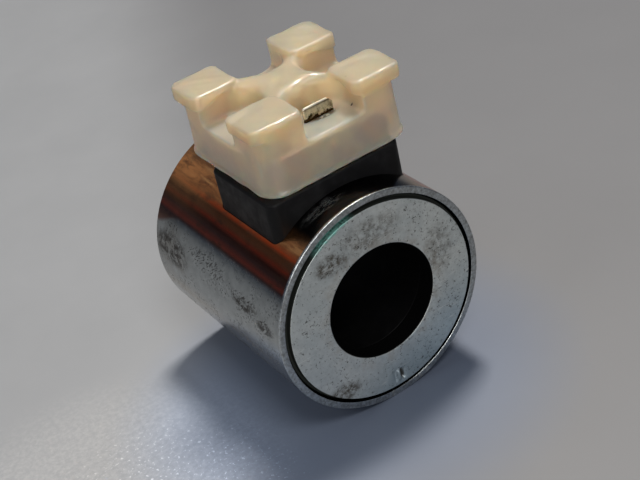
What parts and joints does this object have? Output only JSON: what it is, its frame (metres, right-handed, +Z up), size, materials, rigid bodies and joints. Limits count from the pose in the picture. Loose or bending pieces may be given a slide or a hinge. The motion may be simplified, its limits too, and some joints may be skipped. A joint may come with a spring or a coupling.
{
  "type": "solenoid valve coil",
  "caption": "Round solenoid valve coil in a zinc plated steel can, open bore, black plug connector on top with a soft translucent pull-off protective cap.",
  "frame": {"origin": "on the surface that the coil lies on, below the middle of its length and its width", "axes": "+Z up through the connector, +Y along the bore towards the rear pole ring, -Y out of the front pole ring's face"},
  "size_m": [0.045, 0.0476, 0.0624],
  "materials": {
    "zinc_shell": "bright zinc plate, stained and scuffed",
    "zinc_plate": "dull zinc plate with dark specks",
    "black_plastic": "satin",
    "cap_plastic": "translucent, yellowed, soft gloss",
    "copper": "enamelled copper wire",
    "tinned_brass": "tinned, dirty",
    "brass": "plain",
    "solder": "bright solder",
    "tape": "polyester tape",
    "resin": "cast resin",
    "sleeve": "woven sleeve"
  },
  "bodies": {
    "coil": {"steel_shell": "zinc_shell", "front_end_plate": "zinc_plate", "rear_end_plate": "zinc_plate", "bobbin": "black_plastic", "copper_winding": "copper", "winding_tape": "tape", "potting_ring": "resin", "connector_pedestal": "black_plastic", "terminal_plate": "black_plastic", "blade_left": "tinned_brass", "blade_right": "tinned_brass", "earth_blade": "tinned_brass", "centre_nut": "brass", "lead_start": "copper", "lead_finish": "copper", "sleeve_start": "sleeve", "sleeve_finish": "sleeve", "joint_start": "solder", "joint_finish": "solder", "earth_strap": "brass"},
    "cap": {"protective_cap": "cap_plastic"}
  },
  "joints": [
    {"name": "cap_pull", "type": "slide", "parent": "coil", "child": "cap", "axis": [0, 0, 1], "range_m": [0, 0.018]}
  ]
}
